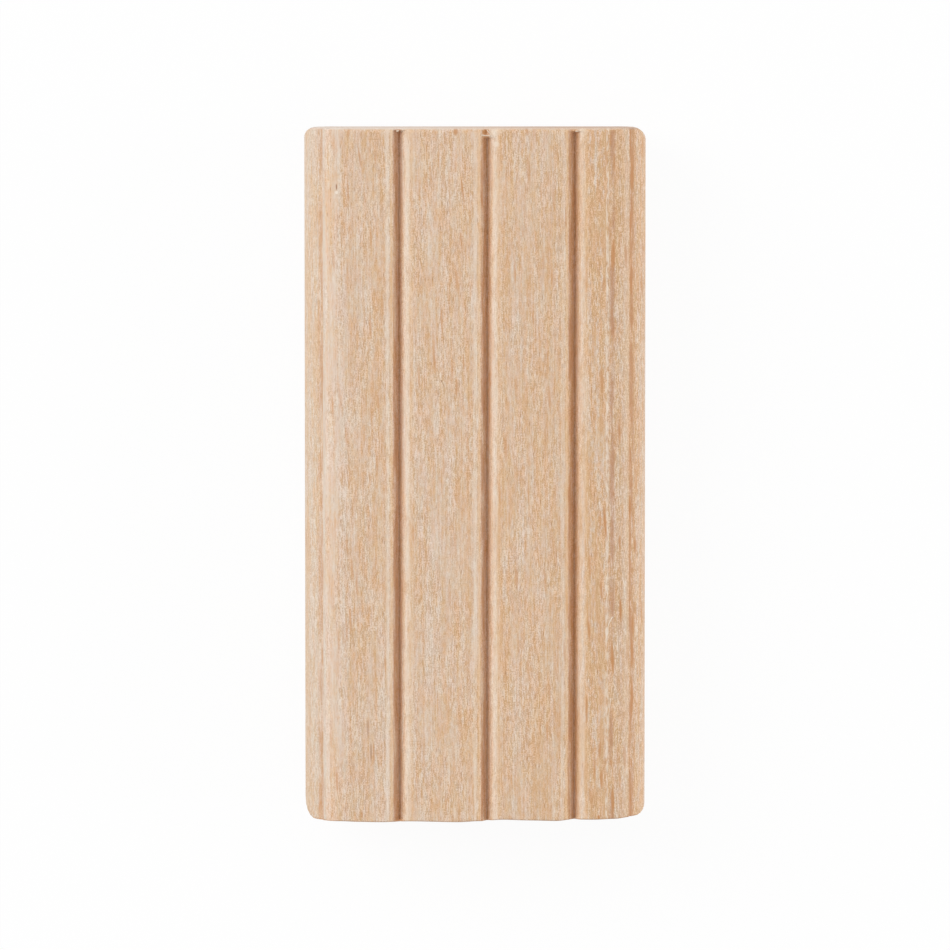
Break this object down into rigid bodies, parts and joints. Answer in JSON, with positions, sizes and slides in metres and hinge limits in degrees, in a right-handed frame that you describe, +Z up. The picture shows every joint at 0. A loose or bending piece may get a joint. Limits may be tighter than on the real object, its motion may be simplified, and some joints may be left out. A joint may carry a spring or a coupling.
{
  "type": "loose tenon",
  "caption": "Flat wooden tenon with rounded edges and shallow V-shaped glue grooves along its broad faces, glued into facing mortises to join boards, rails or legs.",
  "frame": {"origin": "under the middle of the tenon, on the surface that it lies on", "axes": "+X across the width, +Y along the grain, +Z up through the thickness, out of the broad face that is shown"},
  "size_m": [0.0196, 0.04, 0.006],
  "materials": {
    "beech": "bare planed beech, unfinished, grain along the length"
  },
  "bodies": {
    "root": {"loose_tenon": "beech"}
  },
  "joints": []
}
